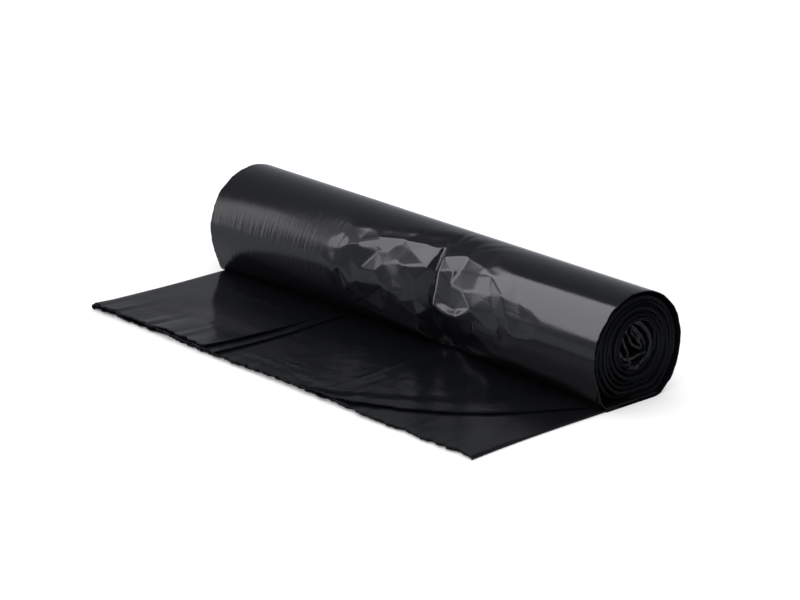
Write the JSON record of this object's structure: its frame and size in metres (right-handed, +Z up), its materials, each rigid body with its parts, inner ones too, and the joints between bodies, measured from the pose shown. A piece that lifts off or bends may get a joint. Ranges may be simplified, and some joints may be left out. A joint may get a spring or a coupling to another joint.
{
  "type": "bin bag roll",
  "caption": "Coreless roll of black polythene refuse sacks on one folded web, lying on its flattened side with the loose end drawn out in front.",
  "frame": {"origin": "middle of the footprint's bounding box, on the surface that the roll lies on", "axes": "+X along the roll towards its near end, +Y away from the loose end, +Z up"},
  "size_m": [0.45, 0.2231, 0.088],
  "materials": {
    "black_film": "glossy black polythene film, finely drawn and creased, with soft highlights"
  },
  "bodies": {
    "root": {"sack_roll": "black_film"}
  },
  "joints": []
}
